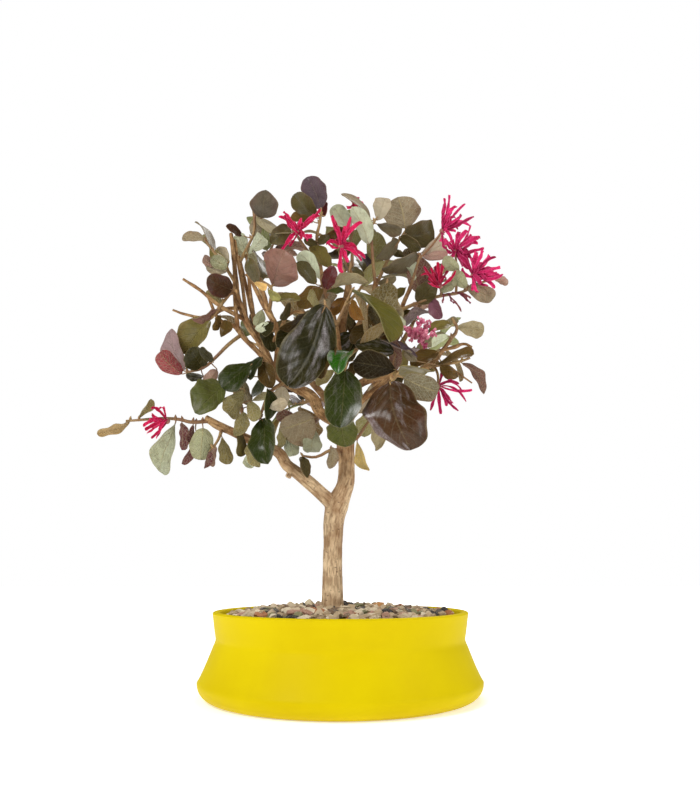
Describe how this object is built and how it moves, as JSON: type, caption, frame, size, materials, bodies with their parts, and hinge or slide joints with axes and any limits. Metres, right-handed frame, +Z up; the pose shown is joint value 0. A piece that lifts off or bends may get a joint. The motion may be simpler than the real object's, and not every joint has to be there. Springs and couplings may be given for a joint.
{
  "type": "bonsai tree",
  "caption": "Loropetalum bonsai with a forked trunk, large olive and maroon leaves and pink strap-petalled flowers, rooted in gravel in a round low pot.",
  "frame": {"origin": "middle of the pot's flat underside", "axes": "+Z up along the pot's axis and the trunk; -Y to the front of the tree; +X to the right as seen from the front"},
  "size_m": [0.22, 0.1479, 0.2895],
  "materials": {
    "yellow_glaze": "satin",
    "soil": "matt",
    "gravel": "rough",
    "bark": "rough",
    "leaf": "glossy",
    "petal": "satin"
  },
  "bodies": {
    "root": {"pot": "yellow_glaze", "soil": "soil", "gravel": "gravel", "wood": "bark", "shoot_low_left_tip": "leaf", "shoot_low_left_hang": "leaf", "shoot_left_middle": "leaf", "shoot_left_drop": "leaf", "shoot_under_middle": "leaf", "shoot_stem_left": "leaf", "shoot_stem_front": "leaf", "shoot_stem_right": "leaf", "shoot_far_left": "leaf", "shoot_left_tip": "leaf", "shoot_left_low": "leaf", "shoot_top_left": "leaf", "shoot_inner_left": "leaf", "shoot_middle_left": "leaf", "shoot_top_middle_left": "leaf", "shoot_centre_left": "leaf", "shoot_top_middle": "leaf", "shoot_crown_tip": "leaf", "shoot_top_right": "leaf", "shoot_right_top": "leaf", "shoot_right_upper": "leaf", "shoot_middle_right": "leaf", "shoot_right_middle": "leaf", "shoot_right_low": "leaf", "shoot_front_left": "leaf", "shoot_front_up": "leaf", "shoot_front_middle": "leaf", "shoot_front_right": "leaf", "grown_back_left_up": "leaf", "grown_back_left_side": "leaf", "grown_back_middle_up": "leaf", "grown_back_middle_right": "leaf", "grown_back_right_up": "leaf", "grown_back_right_side": "leaf", "grown_back_right_low": "leaf", "grown_back_left_low": "leaf", "grown_inner_left": "leaf", "grown_inner_right": "leaf", "grown_front_fill": "leaf", "grown_right_fill": "leaf", "bloom_low_left": "petal", "bloom_top_left": "petal", "bloom_top_middle": "petal", "bloom_top_back": "petal", "bloom_right_top": "petal", "bloom_right_middle": "petal", "bloom_right_out": "petal", "bloom_right_deep": "petal", "bloom_right_low": "petal", "bloom_young": "petal"}
  },
  "joints": []
}
